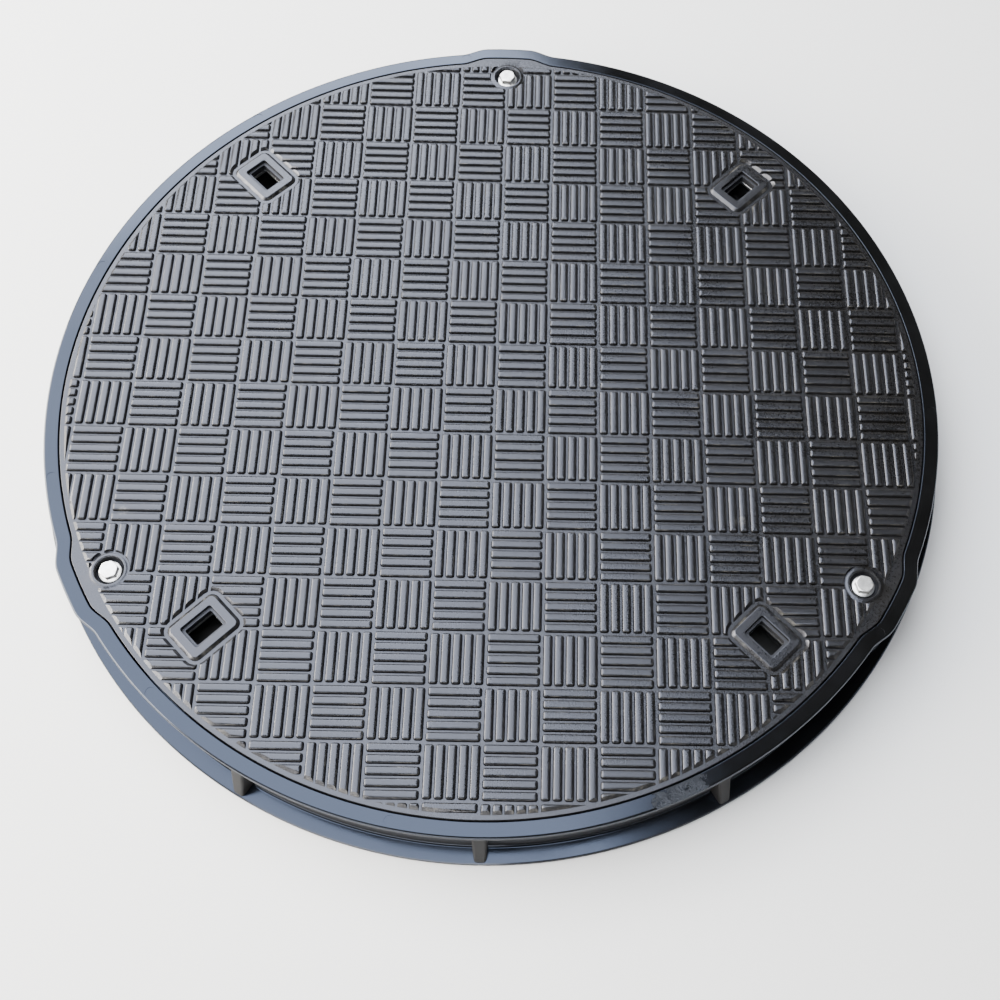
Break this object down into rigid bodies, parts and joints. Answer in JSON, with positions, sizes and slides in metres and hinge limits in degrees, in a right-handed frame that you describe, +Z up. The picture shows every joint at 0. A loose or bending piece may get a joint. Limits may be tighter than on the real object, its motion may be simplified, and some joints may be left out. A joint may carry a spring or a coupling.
{
  "type": "manhole cover",
  "caption": "Round composite access cover with a basket-weave tread, keyways and bolted lobes, in a flanged frame; the bolts unscrew and the cover lifts off.",
  "frame": {"origin": "centre of the frame's underside, on the surface that the frame stands on", "axes": "+Z up, out of the ground; +Y from the centre to the first bolt; +X to the right as seen with that bolt at the far side"},
  "size_m": [0.886, 0.886, 0.06],
  "materials": {
    "frame_composite": "moulded black composite, smooth and fairly glossy",
    "cover_composite": "moulded black composite, satin, a little dusty in the tread",
    "seal_rubber": "matt black rubber",
    "stainless_steel": "bright stainless steel",
    "plated_steel": "dull zinc-plated steel",
    "cup_plastic": "matt black plastic"
  },
  "bodies": {
    "frame_assembly": {"frame": "frame_composite", "frame_gasket": "seal_rubber", "bolt_insert_1": "plated_steel", "bolt_insert_2": "plated_steel", "bolt_insert_3": "plated_steel"},
    "cover_assembly": {"cover_plate": "cover_composite", "bolt_sleeve_1": "plated_steel", "bolt_sleeve_2": "plated_steel", "bolt_sleeve_3": "plated_steel", "key_plate_1": "plated_steel", "key_plate_2": "plated_steel", "key_plate_3": "plated_steel", "key_plate_4": "plated_steel", "keyway_cup_1": "cup_plastic", "keyway_cup_2": "cup_plastic", "keyway_cup_3": "cup_plastic", "keyway_cup_4": "cup_plastic"},
    "bolt_1_carrier": {"seal_washer_1": "seal_rubber"},
    "bolt_1": {"cover_bolt_1": "stainless_steel"},
    "bolt_2_carrier": {"seal_washer_2": "seal_rubber"},
    "bolt_2": {"cover_bolt_2": "stainless_steel"},
    "bolt_3_carrier": {"seal_washer_3": "seal_rubber"},
    "bolt_3": {"cover_bolt_3": "stainless_steel"}
  },
  "joints": [
    {"name": "cover_lift", "type": "slide", "parent": "frame_assembly", "child": "cover_assembly", "axis": [0, 0, 1], "range_m": [0, 0.08]},
    {"name": "bolt_1_travel", "type": "slide", "parent": "cover_assembly", "child": "bolt_1_carrier", "axis": [0, 0, 1], "range_m": [0, 0.021]},
    {"name": "bolt_1_turn", "type": "hinge", "parent": "bolt_1_carrier", "child": "bolt_1", "pos_m": [0, 0.395, 0.05], "axis": [0, 0, 1], "range_deg": [0, 5041]},
    {"name": "bolt_2_travel", "type": "slide", "parent": "cover_assembly", "child": "bolt_2_carrier", "axis": [0, 0, 1], "range_m": [0, 0.021]},
    {"name": "bolt_2_turn", "type": "hinge", "parent": "bolt_2_carrier", "child": "bolt_2", "pos_m": [-0.34208, -0.1975, 0.05], "axis": [0, 0, 1], "range_deg": [0, 5041]},
    {"name": "bolt_3_travel", "type": "slide", "parent": "cover_assembly", "child": "bolt_3_carrier", "axis": [0, 0, 1], "range_m": [0, 0.021]},
    {"name": "bolt_3_turn", "type": "hinge", "parent": "bolt_3_carrier", "child": "bolt_3", "pos_m": [0.34208, -0.1975, 0.05], "axis": [0, 0, 1], "range_deg": [0, 5041]}
  ],
  "couplings": [
    {"joint": "bolt_1_turn", "follows": "bolt_1_travel", "rad_per_m": 4188.8},
    {"joint": "bolt_2_turn", "follows": "bolt_2_travel", "rad_per_m": 4188.8},
    {"joint": "bolt_3_turn", "follows": "bolt_3_travel", "rad_per_m": 4188.8}
  ]
}
